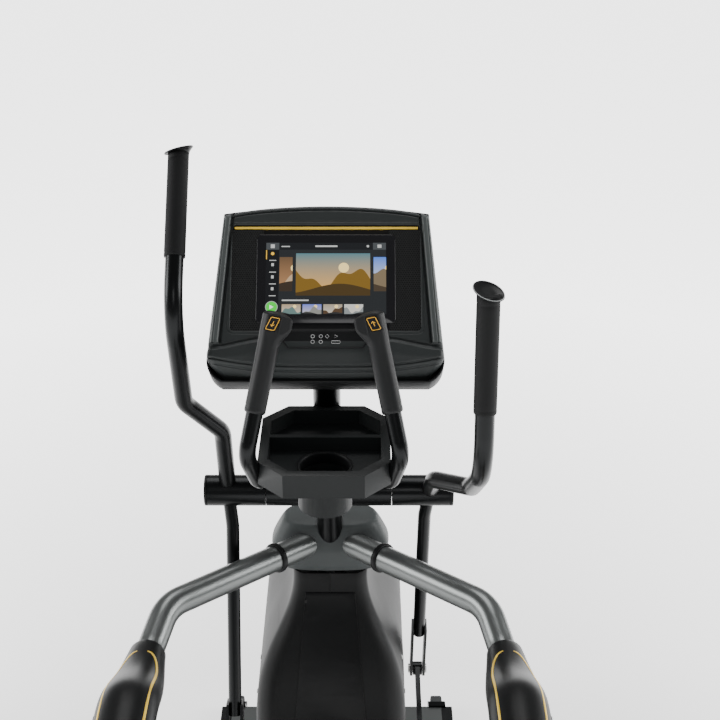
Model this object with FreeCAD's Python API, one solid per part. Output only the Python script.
"""Suspension elliptical trainer, modelled as an assembly of separate solids.

Frame: origin on the floor under the middle of the machine, +X to the user's right,
+Y the way the user faces, +Z up. Millimetres and degrees.

How it works: two pedal arms run from a crank inside the front shroud to the lower ends of
two swing arms, which hang from pivots inside the pods. A link on each side joins the swing
arm to the lower end of the moving handle, and the handles turn on a shaft that crosses the
mast. Link, swing arm, handle and frame are a parallelogram. The machine is drawn with the
left pedal at the back of its stroke and the right one at the front.
"""
import FreeCAD
import Part
import os
from math import acos, atan2, cos, degrees, hypot, radians, sin, tan

V = FreeCAD.Vector
SIDES = {"left": -1, "right": 1}

# ---- driving dimensions -------------------------------------------------------------
HALF_LENGTH = 850.0          # origin to the front of the wheels, and to the rear edge
RUN_CLEAR = 0.05             # radial clearance of a shaft in its bore
FIT_GAP = 0.4                # gap between a cover and what it fits round
WALL = 3.0                   # steel tube wall
SHELL = 3.5                  # moulded cover wall

# mechanism, in the side view
SHAFT_Y = 265.0
SHAFT_Z = 1080.0
PIVOT_Y = -295.0
PIVOT_Z = 1000.0
CRANK_Y = 430.0
CRANK_Z = 335.0
CRANK_R = 228.0
SWING_LEN = 770.0
PEDAL_ARM_LEN = 764.0
LINK_RADIUS = 583.0          # handle pivot to fork bolt, and swing pivot to link pin

# mechanism, across the machine: X of each layer on the right-hand side
CRANK_IN = 86.0
CRANK_T = 12.0
CRANK_END = 20.0
CRANK_AXLE_R = 12.5
PEDAL_ARM_X = 124.0
PEDAL_ARM_W = 34.0
PEDAL_ARM_H = 56.0
LINK_X = 187.0
LINK_T = 10.0
LINK_H = 26.0
SWING_LOW_X = 213.0
SWING_W = 30.0
SWING_D = 46.0
PIVOT_X = 317.0
PIVOT_PIN_R = 10.0
LOW_PIN_R = 10.0
LINK_PIN_R = 8.0

# shaft of the moving handles
SHAFT_OD = 60.0
SHAFT_HALF = 240.0
SHAFT_JOINT = 121.0
SHAFT_WALL = 5.0
AXLE_R = 12.0
HUB_GAP = 1.5
HUB_CAP = 6.0

# moving handles: the tube's centre line with the lower arm hanging straight down, as
# (X, Y, Z) from the shaft centre on the right-hand side
HANDLE_OD = 31.8
LOWER_OD = 25.4
HANDLE_PATH = [(195, 0, 0), (195, -96, 134), (255, -177, 201), (256, -303, 371), (256, -186, 642)]
HANDLE_BENDS = [45, 45, 110]
LOWER_KNEE = (187, 0, -70)
GRIP_OD = 37.0
GRIP_SHARE = 0.18            # part of the last run that is bare before the grip
GRIP_CAP_R = 25.0
GRIP_CAP_H = 16.0
FORK_T = 5.0
FORK_BITE = 1.5              # how far the fork plates are let into the tube's sides
FORK_UP = 130.0
FORK_D = 34.0
BOLT_R = 6.0
BOLT_HEAD = 4.0

# mast
MAST_LEAN = 16.4
MAST_FORWARD = 9.0           # mast axis ahead of the shaft axis, at shaft height
MAST_W = 49.0
MAST_D = 70.0
POST_TOP_Z = 940.0
MAST_OVERLAP = 230.0
MAST_TOP_Z = 1405.0

# tower cap
CAP_LOW = 884.0
CAP_MID = 914.0
CAP_TOP = 950.0
SOCKET_GAP = 3.0             # gap round a side tube where it leaves the cap

# side tubes, pods and rear legs, on the right-hand side
SIDE_OD = 50.8
SIDE_WALL = 4.0
SIDE_INSIDE = 14.0           # how far the tubes' axes would pass ahead of the mast's
SIDE_START_Z = 922.0
SIDE_ELBOW = (292.5, 40.0, 975.5)     # behind the sweep of the handles' lower tubes
SIDE_BEND = 90.0
BOOT_START = (317.0, -58.0, 939.0)
BOOT_BEND = 90.0
CHEEK_T = 6.0
CHEEK_GAP = 50.0
LEG_TOP_BACK = 92.0          # leg top behind the pivot
LEG_OD = 50.8
LEG_FOOT = (238.0, -790.0)
POD_GROW = 19.0              # how far the pod is wider than its boot at the pivot

# base
BASE_CLEAR = 20.0
BEAM_W = 90.0
BEAM_H = 60.0
STAB_H = 50.0
STAB_D = 120.0
FRONT_STAB_Y = 792.0
STAB_HALF = 272.0
CAP_LEN = 28.0
WHEEL_R = 27.0
WHEEL_W = 30.0
WHEEL_X = 246.0
WHEEL_UP = 11.0
WHEEL_PIN_R = 5.0
FOOT_PAD_R = 24.0
FOOT_X = 200.0
FOOT_STUD_R = 5.0

# drive
PULLEY_R = 180.0
PULLEY_W = 20.0
PULLEY_X = 52.0
FLY_Y = 600.0
FLY_Z = 470.0
FLY_R = 90.0
FLY_W = 30.0
FLY_X = -50.0
SMALL_R = 22.0
FLY_SHAFT_R = 8.0
BELT_T = 3.0

# shroud: (Z, half width, back Y, front Y, corner radius)
SHROUD = [(880, 76, 268, 402, 30), (770, 100, 228, 500, 34), (640, 148, 176, 655, 44),
          (540, 155, 160, 704, 46),
          (400, 156, 154, 720, 46), (240, 155, 151, 724, 46), (84, 152, 150, 724, 46)]
SLOT_LOW = 84.0
SLOT_HIGH = 545.0
PANEL_HALF_TOP = 50.0
PANEL_HALF_LOW = 74.0

# pedals
PEDAL_IN = 34.0
PEDAL_OUT = 180.0
PEDAL_BACK = 165.0
PEDAL_FRONT = 215.0
PEDAL_DECK = 14.0
PEDAL_RIM = 46.0

# console, in its own plane: U across, W up the face, N out towards the user
CONSOLE_Y = 232.0
CONSOLE_Z = 1544.0
CONSOLE_TILT = 44.0
CONSOLE_DEPTH = 64.0
BEZEL_T = 14.0
CONSOLE_TOP = 128.0
CONSOLE_ARCH = 14.0
CONSOLE_TOP_HALF = 184.0
CONSOLE_WIDE = 207.0
CONSOLE_WIDE_W = -140.0
CONSOLE_LOW = -186.0
PANEL_HALF = 171.0
PANEL_TOP = 92.0
PANEL_LOW = -100.0
SCREEN_W = 217.0
SCREEN_H = 136.0
SCREEN_T = 6.0

# tray, fixed grips and thumb buttons
TRAY_Z = 1320.0
TRAY_H = 44.0
TRAY_FLOOR = 1292.0
TRAY_BACK = 172.0
TRAY_FRONT = -62.0
TRAY_HALF = 112.0
TRAY_CORNER = 44.0
CUP_Y = 14.0
CUP_R = 43.0
CUP_DEEP = 104.0
FIXED_OD = 28.6
FIXED_GRIP_OD = 36.0
FIXED_TOP = (80.0, 62.0, 1561.0)
FIXED_GRIP_LOW = (114.0, -7.0, 1409.0)
FIXED_KNEE_DROP = 75.0       # straight tube below the fixed grip
FIXED_UNDER = (112.0, 16.0, 1256.0)
FIXED_END = (20.0, 205.0, 1252.0)
GRIP_HEAD = 62.0
BUTTON_R = 9.0
BUTTON_DOWN = 20.0
BUTTON_PROUD = 2.5
BUTTON_TRAVEL = 2.0


# ---- helpers ------------------------------------------------------------------------
def save(name, shape):
    """Writes one node. A list of shapes becomes one group of separate solids."""
    if isinstance(shape, (list, tuple)):
        shape = Part.makeCompound([solid for one in shape for solid in one.Solids])
    elif len(shape.Solids) == 1:
        shape = shape.Solids[0]
    shape.exportStep(os.path.join("parts", name + ".step"))


def box(x, y, z):
    """A box from three (low, high) pairs."""
    return Part.makeBox(x[1] - x[0], y[1] - y[0], z[1] - z[0], V(x[0], y[0], z[0]))


def rod(a, b, radius):
    """A round rod from a to b."""
    a, b = V(*a), V(*b)
    return Part.makeCylinder(radius, (b - a).Length, a, b - a)


def ring(a, b, outer, inner):
    return rod(a, b, outer).cut(rod(a, b, inner))


def xrod(x, y, z, radius):
    """A round rod along X between the pair x."""
    return rod((x[0], y, z), (x[1], y, z), radius)


def path_wire(points, radii):
    """Straight runs joined by tangent arcs, one radius for each inner point."""
    pts = [V(*p) for p in points]
    edges, start = [], pts[0]
    for k in range(1, len(pts) - 1):
        before = (pts[k - 1] - pts[k]).normalize()
        after = (pts[k + 1] - pts[k]).normalize()
        half = before.getAngle(after) / 2
        back = radii[k - 1] / tan(half)
        a, b = pts[k] + before * back, pts[k] + after * back
        middle = (before + after).normalize()
        centre = pts[k] + middle * (radii[k - 1] / sin(half))
        top = centre - middle * radii[k - 1]
        edges += [Part.LineSegment(start, a).toShape(), Part.Arc(a, top, b).toShape()]
        start = b
    edges.append(Part.LineSegment(start, pts[-1]).toShape())
    return Part.Wire(edges)


def sweep(points, radii, profile):
    """A solid that carries a closed profile, drawn about the origin in XY, along the path."""
    direction = V(*points[1]) - V(*points[0])
    placed = profile.copy()
    placed.Placement = FreeCAD.Placement(V(*points[0]), FreeCAD.Rotation(V(0, 0, 1), direction))
    return path_wire(points, radii).makePipeShell([placed], True, False)


def circle_wire(radius):
    return Part.Wire([Part.makeCircle(radius)])


def tube(points, radii, od, wall=WALL):
    """A bent round tube with open ends."""
    return sweep(points, radii, circle_wire(od / 2)).cut(sweep(points, radii, circle_wire(od / 2 - wall)))


def polygon(points):
    return Part.Face(Part.makePolygon([V(*p) for p in points] + [V(*points[0])]))


def mirrored(shape, side):
    """A right-hand shape, turned over for the left-hand side."""
    return shape if side > 0 else shape.mirror(V(0, 0, 0), V(1, 0, 0))


def swung(shape, y, z, angle):
    """Turned about an X axis through (y, z). Positive takes what hangs below to the back."""
    turned = shape.copy()
    turned.rotate(V(0, y, z), V(-1, 0, 0), angle)
    return turned


def racetrack(width, depth):
    """A closed wire of two straights along Y and two half circles, centred on the origin."""
    r, a = width / 2, (depth - width) / 2
    sides = [Part.LineSegment(V(r, -a, 0), V(r, a, 0)), Part.LineSegment(V(-r, a, 0), V(-r, -a, 0))]
    ends = [Part.Arc(V(r, a, 0), V(0, a + r, 0), V(-r, a, 0)),
            Part.Arc(V(-r, -a, 0), V(0, -a - r, 0), V(r, -a, 0))]
    return Part.Wire([sides[0].toShape(), ends[0].toShape(), sides[1].toShape(), ends[1].toShape()])


def rounded_wire(half, back, front, radius, z):
    """A rounded rectangle at height z, symmetric about X = 0."""
    k = radius * (1 - cos(radians(45)))
    corners = [((half, front), (0, -1), (-1, 0)), ((-half, front), (1, 0), (0, -1)),
               ((-half, back), (0, 1), (1, 0)), ((half, back), (-1, 0), (0, 1))]
    edges, arcs = [], []
    for (x, y), into, out in corners:
        a = V(x + into[0] * radius, y + into[1] * radius, z)
        b = V(x + out[0] * radius, y + out[1] * radius, z)
        middle = V(x + k * (into[0] + out[0]), y + k * (into[1] + out[1]), z)
        arcs.append((a, middle, b))
    for n, (a, middle, b) in enumerate(arcs):
        edges.append(Part.Arc(a, middle, b).toShape())
        edges.append(Part.LineSegment(b, arcs[(n + 1) % 4][0]).toShape())
    return Part.Wire(edges)


def rounded(shape, radius, axis):
    """Fillets the straight edges that lie along one axis, as far as the shape allows."""
    size = {"x": "XLength", "y": "YLength", "z": "ZLength"}[axis]
    edges = [e for e in shape.Edges if abs(getattr(e.BoundBox, size) - e.Length) < 1e-6]
    return shape.makeFillet(radius, edges)


def mast_y(z):
    return SHAFT_Y + MAST_FORWARD + (SHAFT_Z - z) * tan(radians(MAST_LEAN))


def mast_bar(low, high, grow=0.0):
    """The mast's outer shape between two heights, grown all round."""
    points = [(0, mast_y(low), low), (0, mast_y(high), high)]
    return sweep(points, [], racetrack(MAST_W + 2 * grow, MAST_D + 2 * grow))


def swing_angle(pin_y):
    """The swing arm's angle from plumb, positive to the back, with its crank pin at pin_y."""
    dy, dz = pin_y - PIVOT_Y, CRANK_Z - PIVOT_Z
    reach = hypot(dy, dz)
    share = (SWING_LEN ** 2 + reach ** 2 - PEDAL_ARM_LEN ** 2) / (2 * SWING_LEN * reach)
    return degrees(acos(share)) - degrees(atan2(dy, -dz))


PIN_Y = {name: CRANK_Y + side * CRANK_R for name, side in SIDES.items()}
ANGLE = {name: swing_angle(PIN_Y[name]) for name in SIDES}


# ---- base ---------------------------------------------------------------------------
def base():
    top = BASE_CLEAR + STAB_H
    rows = {"front": (FRONT_STAB_Y - STAB_D, FRONT_STAB_Y), "rear": (-HALF_LENGTH, STAB_D - HALF_LENGTH)}
    beam_y = (rows["rear"][1], rows["front"][0])
    beam = box((-BEAM_W / 2, BEAM_W / 2), beam_y, (BASE_CLEAR, BASE_CLEAR + BEAM_H))
    inner = box((WALL - BEAM_W / 2, BEAM_W / 2 - WALL), beam_y,
                (BASE_CLEAR + WALL, BASE_CLEAR + BEAM_H - WALL))
    save("main_beam", rounded(beam, 8, "y").cut(inner))
    caps = []
    for name, (y0, y1) in rows.items():
        bar = rounded(box((-STAB_HALF, STAB_HALF), (y0, y1), (BASE_CLEAR, top)), 10, "x")
        bar = bar.cut(box((-STAB_HALF, STAB_HALF), (y0 + WALL, y1 - WALL), (BASE_CLEAR + WALL, top - WALL)))
        y = (y0 + y1) / 2
        for x in (-FOOT_X, FOOT_X):
            bar = bar.fuse(rod((x, y, BASE_CLEAR), (x, y, top - WALL), 11))
            bar = bar.cut(rod((x, y, 0), (x, y, top - 2 * WALL), FOOT_STUD_R + RUN_CLEAR))
        save(name + "_stabiliser", bar)
        for side in SIDES.values():
            x0 = STAB_HALF
            cap = rounded(box((x0, x0 + CAP_LEN), (y0, y1), (BASE_CLEAR, top)), 10, "x")
            plug = box((x0 - 14, x0), (y0 + 2 * WALL, y1 - 2 * WALL),
                       (BASE_CLEAR + 2 * WALL, top - 2 * WALL))
            caps.append(mirrored(cap.fuse(plug), side))
    save("stabiliser_end_caps", caps)
    feet()
    wheels()


def foot(x, y):
    """A levelling foot: round rubber pad, hexagon and threaded stud."""
    corners = [(x + 9 * cos(radians(a)), y + 9 * sin(radians(a)), 12) for a in range(0, 360, 60)]
    pad = Part.makeCone(FOOT_PAD_R, FOOT_PAD_R - 5, 12, V(x, y, 0))
    stud = rod((x, y, 11), (x, y, BASE_CLEAR + 34), FOOT_STUD_R)
    return pad.multiFuse([polygon(corners).extrude(V(0, 0, 6)), stud])


def feet():
    for name, side in SIDES.items():
        save(f"rear_{name}_foot", foot(side * FOOT_X, STAB_D / 2 - HALF_LENGTH))
    save("front_feet", [foot(side * FOOT_X, FRONT_STAB_Y - STAB_D / 2) for side in SIDES.values()])


def wheels():
    y, z = HALF_LENGTH - WHEEL_R, WHEEL_R + WHEEL_UP
    x1 = WHEEL_X + WHEEL_W
    brackets = []
    for name, side in SIDES.items():
        tyre = xrod((WHEEL_X, x1), y, z, WHEEL_R)
        tyre = tyre.makeFillet(4, [e for e in tyre.Edges if isinstance(e.Curve, Part.Circle)])
        tyre = tyre.cut(xrod((WHEEL_X, x1), y, z, WHEEL_PIN_R + RUN_CLEAR))
        save(f"{name}_transport_wheel", mirrored(tyre, side))
        plates = []
        for x0 in (WHEEL_X - 7, x1 + 1):
            plates.append(box((x0, x0 + 6), (FRONT_STAB_Y, y), (z - 13, z + 13)))
            plates.append(xrod((x0, x0 + 6), y, z, 13))
        plates.append(box((WHEEL_X - 7, x1 + 7), (FRONT_STAB_Y - 10, FRONT_STAB_Y + 6), (70, 76)))
        plates.append(box((WHEEL_X - 7, WHEEL_X - 1), (FRONT_STAB_Y, FRONT_STAB_Y + 6), (z, 76)))
        plates.append(box((x1 + 1, x1 + 7), (FRONT_STAB_Y, FRONT_STAB_Y + 6), (z, 76)))
        pin = xrod((WHEEL_X - 7, x1 + 7), y, z, WHEEL_PIN_R)
        brackets.append(mirrored(plates[0].multiFuse(plates[1:] + [pin]), side))
    save("wheel_brackets", brackets)


# ---- tower --------------------------------------------------------------------------
def tower():
    low = BASE_CLEAR + BEAM_H
    post = mast_bar(low - 40, POST_TOP_Z, FIT_GAP + WALL).cut(mast_bar(low - 45, POST_TOP_Z + 5, FIT_GAP))
    post = post.cut(box((-200, 200), (0, 1200), (0, low)))
    post = post.cut(box((-200, 200), (0, 1200), (POST_TOP_Z, POST_TOP_Z + 100)))
    plate = box((-BEAM_W / 2, BEAM_W / 2), (mast_y(low) - 75, mast_y(low) + 75), (low, low + 8))
    side_x = MAST_W / 2 + FIT_GAP + WALL
    webs = [box((x, x + 6), (CRANK_Y - 20, mast_y(CRANK_Z) + 20), (CRANK_Z - 60, CRANK_Z + 60))
            for x in (-side_x - 6, side_x)]
    barrel = xrod((10 - CRANK_IN, CRANK_IN - 10), CRANK_Y, CRANK_Z, 24)
    post = post.multiFuse([plate, barrel] + webs)
    post = post.cut(xrod((-CRANK_IN, CRANK_IN), CRANK_Y, CRANK_Z, CRANK_AXLE_R + RUN_CLEAR))
    save("tower_post", post)
    upper = mast_bar(POST_TOP_Z - MAST_OVERLAP, MAST_TOP_Z)
    upper = upper.cut(mast_bar(POST_TOP_Z - MAST_OVERLAP - 5, MAST_TOP_Z + 5, -WALL))
    half = SHAFT_JOINT - HUB_GAP / 2
    save("console_mast", upper.cut(xrod((-half, half), SHAFT_Y, SHAFT_Z, SHAFT_OD / 2)))
    housing = xrod((-half, half), SHAFT_Y, SHAFT_Z, SHAFT_OD / 2)
    housing = housing.cut(xrod((14 - half, half - 14), SHAFT_Y, SHAFT_Z, SHAFT_OD / 2 - SHAFT_WALL))
    save("shaft_housing", housing.cut(xrod((-half, half), SHAFT_Y, SHAFT_Z, AXLE_R)))
    reach = SHAFT_HALF - HUB_CAP - 1
    save("handle_axle", xrod((-reach, reach), SHAFT_Y, SHAFT_Z, AXLE_R))
    tower_cap()


def tower_cap():
    """A faceted cap round the mast: a low chamfered drum that narrows to its flat top."""
    y = mast_y((CAP_LOW + CAP_TOP) / 2)
    outline = [(-118, 12), (-92, -58), (92, -58), (118, 12), (94, 62), (-94, 62)]

    def level(z, share, shift):
        return Part.makePolygon([V(px * share, y + shift + py * share, z)
                                 for px, py in outline + outline[:1]])
    low = Part.makeLoft([level(CAP_LOW, .9, 0), level(CAP_MID, 1, 0)], True, True)
    high = Part.makeLoft([level(CAP_MID, 1, 0), level(CAP_TOP, .8, 4)], True, True)
    pocket = Part.makeLoft([level(CAP_LOW - .1, .84, 0), level(CAP_MID, .94, 0)], True, True)
    cap = low.fuse(high).cut(pocket).cut(mast_bar(800, 1000, FIT_GAP))
    cap = cap.cut(mast_bar(800, POST_TOP_Z + FIT_GAP, 2 * FIT_GAP + WALL))
    for side in SIDES.values():
        cap = cap.cut(side_run(side, SIDE_OD / 2 + SOCKET_GAP))
    save("tower_cap", max(cap.Solids, key=lambda one: one.Volume))


def side_run(side, radius):
    """The first straight run of a side tube, at the given radius."""
    start = (0, mast_y(SIDE_START_Z) + SIDE_INSIDE, SIDE_START_Z + 7)
    return mirrored(rod(start, SIDE_ELBOW, radius), side)


def shroud_body(inset):
    sections = [(z, half - inset, back + inset, front - inset, radius) for z, half, back, front,
                radius in SHROUD]
    return Part.makeLoft([rounded_wire(half, back, front, radius, z)
                          for z, half, back, front, radius in sections], True, False)


def shroud():
    """Two moulded halves that meet on the middle plane, with a raised rear panel."""
    shell = shroud_body(0).cut(shroud_body(SHELL))
    lane = (CRANK_IN + CRANK_T + 4, PEDAL_ARM_X + PEDAL_ARM_W / 2 + 5)
    half_box = box((0, 400), (0, 900), (0, 1000))
    right = shell.common(half_box)
    right = right.cut(box(lane, (100, 330), (SLOT_LOW - 10, SLOT_HIGH)))
    right = right.cut(side_run(1, SIDE_OD / 2 + SOCKET_GAP))
    right = max(right.Solids, key=lambda one: one.Volume)
    for name, side in SIDES.items():
        save(f"{name}_shroud", mirrored(right, side))
    outline = [(-PANEL_HALF_TOP, 0, 840), (PANEL_HALF_TOP, 0, 840), (PANEL_HALF_LOW, 0, 560),
               (PANEL_HALF_LOW, 0, 110), (-PANEL_HALF_LOW, 0, 110), (-PANEL_HALF_LOW, 0, 560)]
    prism = polygon(outline).extrude(V(0, 330, 0))
    panel = shroud_body(-2.5).cut(shroud_body(-0.1)).common(prism)
    save("shroud_rear_panel", max(panel.Solids, key=lambda one: one.Volume))


# ---- side tubes, pods, rear legs ----------------------------------------------------
def side_frames():
    ex, ey, ez = SIDE_ELBOW
    bx, by, bz = BOOT_START
    start = (0, mast_y(SIDE_START_Z) + SIDE_INSIDE, SIDE_START_Z + 7)
    end_y = PIVOT_Y + 70
    end = (bx, end_y, bz + 44)
    leg_y = PIVOT_Y - LEG_TOP_BACK
    path, bends = [start, (ex, ey, ez), (bx, by, bz), end], [SIDE_BEND, BOOT_BEND]
    room = sweep(path, bends, circle_wire(SIDE_OD / 2 + FIT_GAP))
    right_half = box((0, 900), (-900, 900), (0, 2000))
    for name, side in SIDES.items():
        pipe = tube(path, bends, SIDE_OD, SIDE_WALL)
        pipe = pipe.cut(mast_bar(700, POST_TOP_Z + 60, FIT_GAP + WALL)).common(right_half)
        pipe = max(pipe.Solids, key=lambda one: one.Volume)
        cheeks = [box((x0, x0 + CHEEK_T), (leg_y - 24, end_y + 10), (PIVOT_Z - 28, PIVOT_Z + 20))
                  for x0 in (PIVOT_X - CHEEK_GAP / 2 - CHEEK_T, PIVOT_X + CHEEK_GAP / 2)]
        cross = box((PIVOT_X - CHEEK_GAP / 2, PIVOT_X + CHEEK_GAP / 2), (end_y - 4, end_y + 10),
                    (PIVOT_Z - 28, PIVOT_Z + 20))
        half = CHEEK_GAP / 2 + CHEEK_T
        pin = xrod((PIVOT_X - half, PIVOT_X + half), PIVOT_Y, PIVOT_Z, PIVOT_PIN_R)
        heads = [xrod(pair, PIVOT_Y, PIVOT_Z, 15) for pair in
                 ((PIVOT_X - half - 5, PIVOT_X - half), (PIVOT_X + half, PIVOT_X + half + 5))]
        save(f"{name}_side_tube", mirrored(pipe.multiFuse(cheeks + [cross, pin] + heads), side))
        rear_leg(name, side, leg_y)
        pod_cover(name, side, leg_y, room)


def leg_points(leg_y):
    top = (PIVOT_X, leg_y, PIVOT_Z + 4)
    foot_top = BASE_CLEAR + STAB_H
    return [(LEG_FOOT[0], LEG_FOOT[1], foot_top), (LEG_FOOT[0], LEG_FOOT[1] + 8, foot_top + 60), top]


def rear_leg(name, side, leg_y):
    points = leg_points(leg_y)
    x, y = LEG_FOOT
    leg = tube(points, [110], LEG_OD, SIDE_WALL).cut(box((0, 900), (-900, 0), (0, BASE_CLEAR + STAB_H)))
    plate = box((x - 34, x + 34), (y - 40, y + 40), (BASE_CLEAR + STAB_H, BASE_CLEAR + STAB_H + 8))
    save(f"{name}_rear_leg", mirrored(leg.fuse(plate), side))


def pod_rings(grow):
    """Centre and half sizes of the pod along its length: (Y, Z, half width, half height)."""
    bx, by, bz = BOOT_START
    r = SIDE_OD / 2 + FIT_GAP + SHELL + 1
    wide = r + POD_GROW
    rows = [(by, bz + 4, r + 2, r + 4), (by - 55, bz + 14, r + 8, r + 7), (by - 120, bz + 32, r + 15, r + 12),
            (PIVOT_Y + 40, PIVOT_Z + 2, wide, r + 16), (PIVOT_Y - 50, PIVOT_Z, wide, r + 18),
            (PIVOT_Y - 110, PIVOT_Z - 8, r + 13, r + 15), (PIVOT_Y - 152, PIVOT_Z - 20, r - 4, r - 4)]
    return [(y, z, half + grow, high + grow) for y, z, half, high in rows]


def pod_body(grow):
    wires = []
    for y, z, half, high in pod_rings(grow):
        turn = FreeCAD.Rotation(V(1, 0, 0), 90)
        if high > half:
            turn = turn.multiply(FreeCAD.Rotation(V(0, 0, 1), 90))
        wire = Part.Wire([Part.Ellipse(V(0, 0, 0), max(half, high) + .01, min(half, high)).toShape()])
        wire.Placement = FreeCAD.Placement(V(PIVOT_X, y, z), turn)
        wires.append(wire)
    return Part.makeLoft(wires, True, False)


def pod_cover(name, side, leg_y, room):
    shell = pod_body(0).cut(pod_body(-SHELL))
    mouth_x = (PIVOT_X - 27, PIVOT_X + 27)
    shell = shell.cut(box(mouth_x, (PIVOT_Y - 66, PIVOT_Y + 56), (PIVOT_Z - 120, PIVOT_Z - 26)))
    shell = shell.cut(room)
    points = leg_points(leg_y)
    shell = shell.cut(rod(points[2], points[1], LEG_OD / 2 + FIT_GAP))
    save(f"{name}_pod_cover", mirrored(max(shell.Solids, key=lambda one: one.Volume), side))


# ---- moving handles -----------------------------------------------------------------
def at_shaft(points):
    return [(x, y + SHAFT_Y, z + SHAFT_Z) for x, y, z in points]


def handle(name, side):
    """Hub sleeve, upper tube, lower tube and fork, welded in one, then its separate pieces."""
    x0 = SHAFT_JOINT + HUB_GAP / 2
    x1 = SHAFT_HALF - HUB_CAP
    sleeve = xrod((x0, x1), SHAFT_Y, SHAFT_Z, SHAFT_OD / 2)
    path = at_shaft(HANDLE_PATH)
    upper = sweep(path, HANDLE_BENDS, circle_wire(HANDLE_OD / 2))
    hollow = sweep(path, HANDLE_BENDS, circle_wire(HANDLE_OD / 2 - WALL))
    fork_top = (LINK_X, 0, FORK_UP - LINK_RADIUS)
    lower_path = at_shaft([(HANDLE_PATH[0][0], 0, 0), LOWER_KNEE, fork_top])
    lower = sweep(lower_path, [120], circle_wire(LOWER_OD / 2))
    frame = sleeve.multiFuse([upper, lower])
    frame = frame.cut(hollow)
    frame = frame.cut(xrod((x0 + 16, x1 - 16), SHAFT_Y, SHAFT_Z, SHAFT_OD / 2 - SHAFT_WALL))
    frame = frame.cut(xrod((x0, x1), SHAFT_Y, SHAFT_Z, AXLE_R + RUN_CLEAR))
    bolt_z = SHAFT_Z - LINK_RADIUS
    for face in (FORK_BITE - LOWER_OD / 2 - FORK_T, LOWER_OD / 2 - FORK_BITE):
        pair = (LINK_X + face, LINK_X + face + FORK_T)
        plate = box(pair, (SHAFT_Y - FORK_D / 2, SHAFT_Y + FORK_D / 2), (bolt_z, bolt_z + FORK_UP + 26))
        plate = plate.fuse(xrod(pair, SHAFT_Y, bolt_z, FORK_D / 2))
        frame = frame.fuse(plate.cut(xrod(pair, SHAFT_Y, bolt_z, BOLT_R)))
    angle = ANGLE[name]

    def place(shape):
        return mirrored(swung(shape, SHAFT_Y, SHAFT_Z, angle), side)
    save(f"{name}_handle_arm", place(frame))
    half = LOWER_OD / 2 + FORK_T - FORK_BITE
    bolt = xrod((LINK_X - half - BOLT_HEAD, LINK_X + half + BOLT_HEAD), SHAFT_Y, bolt_z, BOLT_R)
    heads = [xrod((LINK_X - half - BOLT_HEAD, LINK_X - half), SHAFT_Y, bolt_z, 10),
             xrod((LINK_X + half, LINK_X + half + BOLT_HEAD), SHAFT_Y, bolt_z, 10)]
    save(f"{name}_fork_bolt", place(bolt.multiFuse(heads)))
    a, b = V(*path[-2]), V(*path[-1])
    start = a + (b - a) * GRIP_SHARE
    axis = (b - a).normalize()
    start = start + axis * 50
    save(f"{name}_hand_grip", place(ring(tuple(start), tuple(b), GRIP_OD / 2, HANDLE_OD / 2)))
    flare = Part.makeCone(GRIP_OD / 2, GRIP_CAP_R, GRIP_CAP_H, b, axis)
    save(f"{name}_grip_cap", place(flare))
    cap = xrod((x1, SHAFT_HALF), SHAFT_Y, SHAFT_Z, SHAFT_OD / 2)
    save(f"{name}_hub_cap", place(cap.cut(xrod((x1, SHAFT_HALF - 2), SHAFT_Y, SHAFT_Z, SHAFT_OD / 2 - 14))))


def link(name, side):
    """The flat link from the fork bolt to the pin on the swing arm."""
    angle = radians(ANGLE[name])
    dy, dz = -LINK_RADIUS * sin(angle), -LINK_RADIUS * cos(angle)
    front, back = (SHAFT_Y + dy, SHAFT_Z + dz), (PIVOT_Y + dy, PIVOT_Z + dz)
    pair = (LINK_X - LINK_T / 2, LINK_X + LINK_T / 2)
    run = V(0, front[0] - back[0], front[1] - back[1])
    across = V(0, -run.z, run.y).normalize() * (LINK_H / 2)
    a, b = V(pair[0], back[0], back[1]), V(pair[0], front[0], front[1])
    bar = polygon([tuple(a + across), tuple(b + across), tuple(b - across), tuple(a - across)])
    bar = bar.extrude(V(LINK_T, 0, 0))
    wide = (pair[0] - 5, pair[1] + 5)
    bar = bar.multiFuse([xrod(wide, *front, 15), xrod(pair, *back, 18)])
    bar = bar.cut(xrod(wide, *front, BOLT_R + RUN_CLEAR))
    save(f"{name}_link", mirrored(bar.cut(xrod(pair, *back, LINK_PIN_R + RUN_CLEAR)), side))


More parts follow.
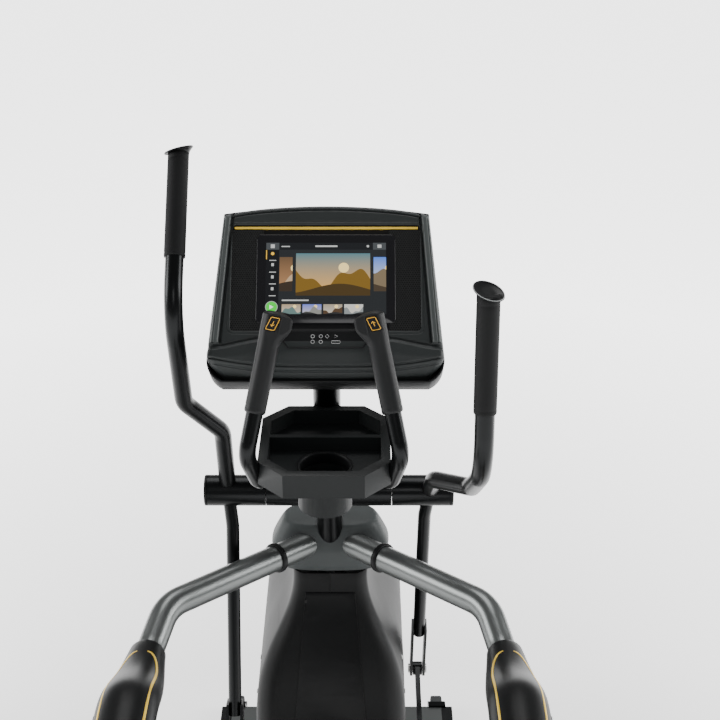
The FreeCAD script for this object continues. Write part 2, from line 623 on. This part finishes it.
# ---- swing arms and pedals ----------------------------------------------------------
def swing_arm(name, side):
    """A bent oval tube with its top bush, link pin and lower pivot pin."""
    low = PIVOT_Z - SWING_LEN
    path = [(SWING_LOW_X, PIVOT_Y, low - 24), (SWING_LOW_X, PIVOT_Y, PIVOT_Z - 330),
            (PIVOT_X, PIVOT_Y, PIVOT_Z - 130), (PIVOT_X, PIVOT_Y, PIVOT_Z - 6)]
    arm = sweep(path, [140, 140], racetrack(SWING_W, SWING_D))
    arm = arm.cut(sweep(path, [140, 140], racetrack(SWING_W - 2 * WALL, SWING_D - 2 * WALL)))
    bush = xrod((PIVOT_X - 22, PIVOT_X + 22), PIVOT_Y, PIVOT_Z, 23)
    foot_plug = box((SWING_LOW_X - 11, SWING_LOW_X + 11), (PIVOT_Y - 12, PIVOT_Y + 12),
                    (low - 24, low + 24))
    low_pin = xrod((PEDAL_ARM_X - 14, SWING_LOW_X + SWING_W / 2 + 4), PIVOT_Y, low, LOW_PIN_R)
    link_z = PIVOT_Z - LINK_RADIUS
    link_pin = xrod((LINK_X - 9, SWING_LOW_X), PIVOT_Y, link_z, LINK_PIN_R)
    washer = xrod((LINK_X - 13, LINK_X - 7), PIVOT_Y, link_z, 12)
    spacer = xrod((LINK_X + LINK_T / 2 + .5, SWING_LOW_X), PIVOT_Y, link_z, 12)
    arm = arm.multiFuse([bush, foot_plug, low_pin, link_pin, washer, spacer])
    arm = arm.cut(xrod((PIVOT_X - 30, PIVOT_X + 30), PIVOT_Y, PIVOT_Z, PIVOT_PIN_R + RUN_CLEAR))
    save(f"{name}_swing_arm", mirrored(swung(arm, PIVOT_Y, PIVOT_Z, ANGLE[name]), side))


def arm_place(name, side, shape):
    """Puts a piece drawn along +Y from the swing arm's lower pin onto the pedal arm's line."""
    angle = radians(ANGLE[name])
    y, z = PIVOT_Y - SWING_LEN * sin(angle), PIVOT_Z - SWING_LEN * cos(angle)
    slope = degrees(atan2(CRANK_Z - z, PIN_Y[name] - y))
    placed = shape.copy()
    placed.rotate(V(0, 0, 0), V(1, 0, 0), slope)
    placed.translate(V(0, y, z))
    return mirrored(placed, side)


def pedal(name, side):
    x = (PEDAL_ARM_X - PEDAL_ARM_W / 2, PEDAL_ARM_X + PEDAL_ARM_W / 2)
    h = PEDAL_ARM_H / 2
    bar = rounded(box(x, (-70, PEDAL_ARM_LEN), (-h, h)), 6, "y")
    bar = bar.cut(box((x[0] + WALL, x[1] - WALL), (-60, PEDAL_ARM_LEN - 40), (WALL - h, h - WALL)))
    outer = SWING_LOW_X - SWING_W / 2 - 2
    bar = bar.fuse(xrod((x[0], outer), 0, 0, 19)).fuse(xrod(x, PEDAL_ARM_LEN, 0, h))
    bar = bar.cut(xrod((x[0] + 2, outer), 0, 0, LOW_PIN_R + RUN_CLEAR))
    save(f"{name}_pedal_arm", arm_place(name, side, bar))
    y = (-PEDAL_BACK, PEDAL_FRONT)
    deck = rounded(box((PEDAL_IN, PEDAL_OUT), y, (h, h + PEDAL_RIM)), 34, "z")
    well = rounded(box((PEDAL_IN + 7, PEDAL_OUT - 7), (y[0] + 7, y[1] - 7),
                   (h + PEDAL_DECK, h + PEDAL_RIM)), 28, "z")
    deck = deck.cut(well)
    notch = box((PEDAL_IN - 1, PEDAL_OUT + 1), (y[0] - 1, y[0] + 150), (h + PEDAL_DECK + 12, h + PEDAL_RIM))
    save(f"{name}_pedal", arm_place(name, side, deck.cut(notch)))


# ---- drive --------------------------------------------------------------------------
def drive():
    reach = CRANK_IN + CRANK_T
    save("crank_axle", xrod((-reach, reach), CRANK_Y, CRANK_Z, CRANK_AXLE_R))
    for name, side in SIDES.items():
        pin_y = PIN_Y[name]
        pair = (CRANK_IN, reach)
        low, high = sorted((CRANK_Y, pin_y))
        arm = box(pair, (low, high), (CRANK_Z - CRANK_END, CRANK_Z + CRANK_END))
        arm = arm.multiFuse([xrod(pair, CRANK_Y, CRANK_Z, 30), xrod(pair, pin_y, CRANK_Z, CRANK_END),
                             xrod((reach, reach + 5), pin_y, CRANK_Z, 12)])
        arm = arm.cut(xrod(pair, CRANK_Y, CRANK_Z, CRANK_AXLE_R))
        save(f"{name}_crank", mirrored(arm, side))
    face = (PULLEY_X - PULLEY_W / 2, PULLEY_X + PULLEY_W / 2)
    disc = xrod(face, CRANK_Y, CRANK_Z, PULLEY_R)
    for pair in ((face[0], PULLEY_X - 4), (PULLEY_X + 4, face[1])):
        disc = disc.cut(xrod(pair, CRANK_Y, CRANK_Z, PULLEY_R - 14).cut(xrod(pair, CRANK_Y, CRANK_Z, 38)))
    web_x = (PULLEY_X - 5, PULLEY_X + 5)
    for k in range(6):
        a = radians(60 * k + 30)
        disc = disc.cut(xrod(web_x, CRANK_Y + 102 * cos(a), CRANK_Z + 102 * sin(a), 34))
    barrel_end = CRANK_IN - 10
    save("drive_pulley", disc.cut(xrod(face, CRANK_Y, CRANK_Z, 24 + FIT_GAP)))
    spider = [xrod((barrel_end + .5, CRANK_IN), CRANK_Y, CRANK_Z, 60)]
    spider.append(xrod((face[1], barrel_end + .5), CRANK_Y, CRANK_Z, 38))
    plate = spider[0].fuse(spider[1]).cut(xrod((face[1], CRANK_IN), CRANK_Y, CRANK_Z, CRANK_AXLE_R))
    plate = plate.cut(xrod((face[1], barrel_end + .5), CRANK_Y, CRANK_Z, 24 + FIT_GAP))
    save("pulley_flange", plate)
    fly_x = (FLY_X - FLY_W / 2, FLY_X + FLY_W / 2)
    wheel = xrod(fly_x, FLY_Y, FLY_Z, FLY_R)
    shaft = xrod((fly_x[0] - 12, PULLEY_X + 24), FLY_Y, FLY_Z, FLY_SHAFT_R)
    small = xrod((PULLEY_X - PULLEY_W / 2, PULLEY_X + PULLEY_W / 2), FLY_Y, FLY_Z, SMALL_R)
    save("flywheel", wheel.multiFuse([shaft, small]))
    save("drive_belt", belt())
    bracket()


def belt():
    """An open belt round the two pulleys, a running gap clear of both."""
    pair = (PULLEY_X - PULLEY_W / 2 + 2, PULLEY_X + PULLEY_W / 2 - 2)

    def loop(grow):
        big, small = PULLEY_R + grow, SMALL_R + grow
        dy, dz = FLY_Y - CRANK_Y, FLY_Z - CRANK_Z
        line, lean = atan2(dz, dy), acos((big - small) / hypot(dy, dz))
        discs = [xrod(pair, CRANK_Y, CRANK_Z, big), xrod(pair, FLY_Y, FLY_Z, small)]
        corners = []
        for cy, cz, r, turn in ((CRANK_Y, CRANK_Z, big, lean), (FLY_Y, FLY_Z, small, lean),
                                (FLY_Y, FLY_Z, small, -lean), (CRANK_Y, CRANK_Z, big, -lean)):
            corners.append((pair[0], cy + r * cos(line + turn), cz + r * sin(line + turn)))
        return polygon(corners).extrude(V(pair[1] - pair[0], 0, 0)).multiFuse(discs)
    return loop(.3 + BELT_T).cut(loop(.3))


def bracket():
    """Two upright plates ahead of the tower post that hold the flywheel shaft."""
    plates = []
    for x0 in (FLY_X - FLY_W / 2 - 10, PULLEY_X + PULLEY_W / 2 + 4):
        plate = box((x0, x0 + 5), (FLY_Y - 25, FLY_Y + 25), (BASE_CLEAR + BEAM_H, FLY_Z))
        plate = plate.fuse(xrod((x0, x0 + 5), FLY_Y, FLY_Z, 25))
        plates.append(plate.cut(xrod((x0, x0 + 5), FLY_Y, FLY_Z, FLY_SHAFT_R + RUN_CLEAR)))
    x = (FLY_X - FLY_W / 2 - 10, PULLEY_X + PULLEY_W / 2 + 9)
    sill = box(x, (FLY_Y - 25, FLY_Y + 25), (BASE_CLEAR + BEAM_H, BASE_CLEAR + BEAM_H + 6))
    sill = sill.cut(mast_bar(40, 300, FIT_GAP + WALL + 4))
    foot = box((-45, 45), (mast_y(80) - 80, mast_y(80) + 76),
               (BASE_CLEAR + BEAM_H, BASE_CLEAR + BEAM_H + 9))
    save("flywheel_bracket", plates[0].multiFuse([plates[1], sill]).cut(foot))


# ---- console ------------------------------------------------------------------------
def face_place(shape):
    """Puts a shape drawn in the console's own frame (X across, Y up the face, Z out)."""
    placed = shape.copy()
    placed.rotate(V(0, 0, 0), V(1, 0, 0), 90 - CONSOLE_TILT)
    placed.translate(V(0, CONSOLE_Y, CONSOLE_Z))
    return placed


def console_outline(inset):
    """Arched top, sides that widen downwards, and rounded lower corners."""
    top, low = CONSOLE_TOP - inset, CONSOLE_LOW + inset
    t, w, b = CONSOLE_TOP_HALF - inset, CONSOLE_WIDE - inset, CONSOLE_WIDE - 26 - inset
    knee = CONSOLE_WIDE_W
    arch = Part.Arc(V(-t, top, 0), V(0, top + CONSOLE_ARCH, 0), V(t, top, 0))
    runs = [(V(t, top, 0), V(w, knee, 0)), (V(b, low, 0), V(-b, low, 0)), (V(-w, knee, 0), V(-t, top, 0))]
    sag = 8
    edges = [arch.toShape(), Part.LineSegment(*runs[0]).toShape(),
             Part.Arc(V(w, knee, 0), V((w + b) / 2 + sag, (knee + low) / 2 - sag / 2, 0),
                      V(b, low, 0)).toShape(),
             Part.LineSegment(*runs[1]).toShape(),
             Part.Arc(V(-b, low, 0), V(-(w + b) / 2 - sag, (knee + low) / 2 - sag / 2, 0),
                      V(-w, knee, 0)).toShape(),
             Part.LineSegment(*runs[2]).toShape()]
    return Part.Face(Part.Wire(edges))


def slab(inset, low, high):
    """The console's outline between two depths, low behind the face."""
    face = console_outline(inset)
    face.translate(V(0, 0, low))
    return face.extrude(V(0, 0, high - low))


def console():
    back = slab(0, -CONSOLE_DEPTH, -BEZEL_T - .1).cut(slab(SHELL, SHELL - CONSOLE_DEPTH, 0))
    back = face_place(back).cut(mast_bar(1200, 1500, FIT_GAP))
    save("console_back", max(back.Solids, key=lambda one: one.Volume))
    bezel = slab(0, -BEZEL_T, 0)
    panel_hole = box((-PANEL_HALF, PANEL_HALF), (PANEL_LOW, PANEL_TOP), (-4, 1))
    glass = box((-SCREEN_W / 2 - 1, SCREEN_W / 2 + 1), (-SCREEN_H / 2 - 1, SCREEN_H / 2 + 1), (-BEZEL_T, 1))
    strip = control_outline(FIT_GAP, -6, 1)
    cut = face_place(bezel.cut(panel_hole).cut(glass).cut(strip)).cut(mast_bar(1200, 1500, FIT_GAP))
    save("console_bezel", max(cut.Solids, key=lambda one: one.Volume))
    screen = box((-SCREEN_W / 2, SCREEN_W / 2), (-SCREEN_H / 2, SCREEN_H / 2), (-4 - SCREEN_T, -1))
    save("touch_screen", face_place(screen))
    gap = .5
    grilles = []
    for side in SIDES.values():
        x = sorted((side * (SCREEN_W / 2 + 3), side * (PANEL_HALF - gap)))
        grilles.append(face_place(box(x, (PANEL_LOW + gap, PANEL_TOP - gap), (-4, -1.5))))
    save("speaker_grilles", grilles)
    save("control_strip", face_place(control_outline(0, -6, 2)))


def control_outline(grow, low, high):
    """The long hexagon under the screen that holds the keys and the sockets."""
    half, tip, up, down = 72 + grow, 88 + grow, -104 + grow, -132 - grow
    middle = (up + down) / 2
    points = [(-half, up, low), (half, up, low), (tip, middle, low), (half, down, low),
              (-half, down, low), (-tip, middle, low)]
    return polygon(points).extrude(V(0, 0, high - low))


# ---- tray, fixed grips, buttons -----------------------------------------------------
def fixed_grip_path():
    """The fixed grip's top, bottom, axis and tube path on the right-hand side."""
    top, low = V(*FIXED_TOP), V(*FIXED_GRIP_LOW)
    axis = (top - low).normalize()
    knee = low - axis * FIXED_KNEE_DROP
    head = top - axis * GRIP_HEAD
    return top, low, axis, head, [tuple(head), tuple(knee), FIXED_UNDER, FIXED_END]


def tray():
    def octagon(inset, low, high):
        x, c = TRAY_HALF - inset, TRAY_CORNER - inset * .4
        f, b = TRAY_FRONT + inset, TRAY_BACK - inset
        pts = [(-x + c, f), (x - c, f), (x, f + c), (x, b - c), (x - c, b), (-x + c, b), (-x, b - c),
               (-x, f + c)]
        return polygon([(px, py, low) for px, py in pts]).extrude(V(0, 0, high - low))
    body = octagon(0, TRAY_Z - TRAY_H, TRAY_Z)
    body = body.cut(octagon(16, TRAY_FLOOR,
                    TRAY_Z + 1).cut(box((-200, 200), (CUP_Y + 48, CUP_Y + 58), (0, 2000))))
    body = body.fuse(rod((0, CUP_Y, TRAY_Z - CUP_DEEP), (0, CUP_Y, TRAY_FLOOR), CUP_R + SHELL))
    body = body.cut(rod((0, CUP_Y, TRAY_Z - CUP_DEEP + SHELL), (0, CUP_Y, TRAY_Z + 1), CUP_R))
    arm = box((-40, 40), (TRAY_BACK - 1, mast_y(TRAY_Z) - 10), (TRAY_Z - TRAY_H, TRAY_Z - 12))
    body = body.fuse(arm).cut(mast_bar(1100, 1500, FIT_GAP))
    channel = sweep(fixed_grip_path()[4], [42, 42], circle_wire(FIXED_OD / 2 + FIT_GAP))
    for side in SIDES.values():
        body = body.cut(mirrored(channel, side))
    save("accessory_tray", max(body.Solids, key=lambda one: one.Volume))


def fixed_grips():
    top, low, axis, head, points = fixed_grip_path()
    facing = (V(0, -1, 0) - axis * axis.dot(V(0, -1, 0))).normalize()
    pipe = tube(points, [42, 42], FIXED_OD).cut(mast_bar(1100, 1500, 0))
    pipe = max(pipe.Solids, key=lambda one: one.Volume)
    save("fixed_grip_tubes", [mirrored(pipe, side) for side in SIDES.values()])
    sleeve = rod(tuple(low), tuple(top), FIXED_GRIP_OD / 2)
    rim = [e for e in sleeve.Edges if isinstance(e.Curve,
           Part.Circle) and (e.CenterOfMass - top).Length < 1]
    sleeve = sleeve.makeFillet(6, rim).cut(rod(tuple(low - axis), tuple(head), FIXED_OD / 2))
    centre = top - axis * BUTTON_DOWN
    floor = centre + facing * (FIXED_GRIP_OD / 2 - 8)
    out = centre + facing * (FIXED_GRIP_OD / 2 + 5)
    sleeve = sleeve.cut(rod(tuple(floor), tuple(out), BUTTON_R + RUN_CLEAR))
    save("fixed_grips", [mirrored(sleeve, side) for side in SIDES.values()])
    inner = floor + facing * (BUTTON_TRAVEL + .5)
    outer = centre + facing * (FIXED_GRIP_OD / 2 + BUTTON_PROUD)
    key = rod(tuple(inner), tuple(outer), BUTTON_R)
    for name, side in SIDES.items():
        save(f"{name}_thumb_button", mirrored(key, side))


os.makedirs("parts", exist_ok=True)
base()
tower()
shroud()
side_frames()
for one_name, one_side in SIDES.items():
    handle(one_name, one_side)
    link(one_name, one_side)
    swing_arm(one_name, one_side)
    pedal(one_name, one_side)
drive()
console()
tray()
fixed_grips()
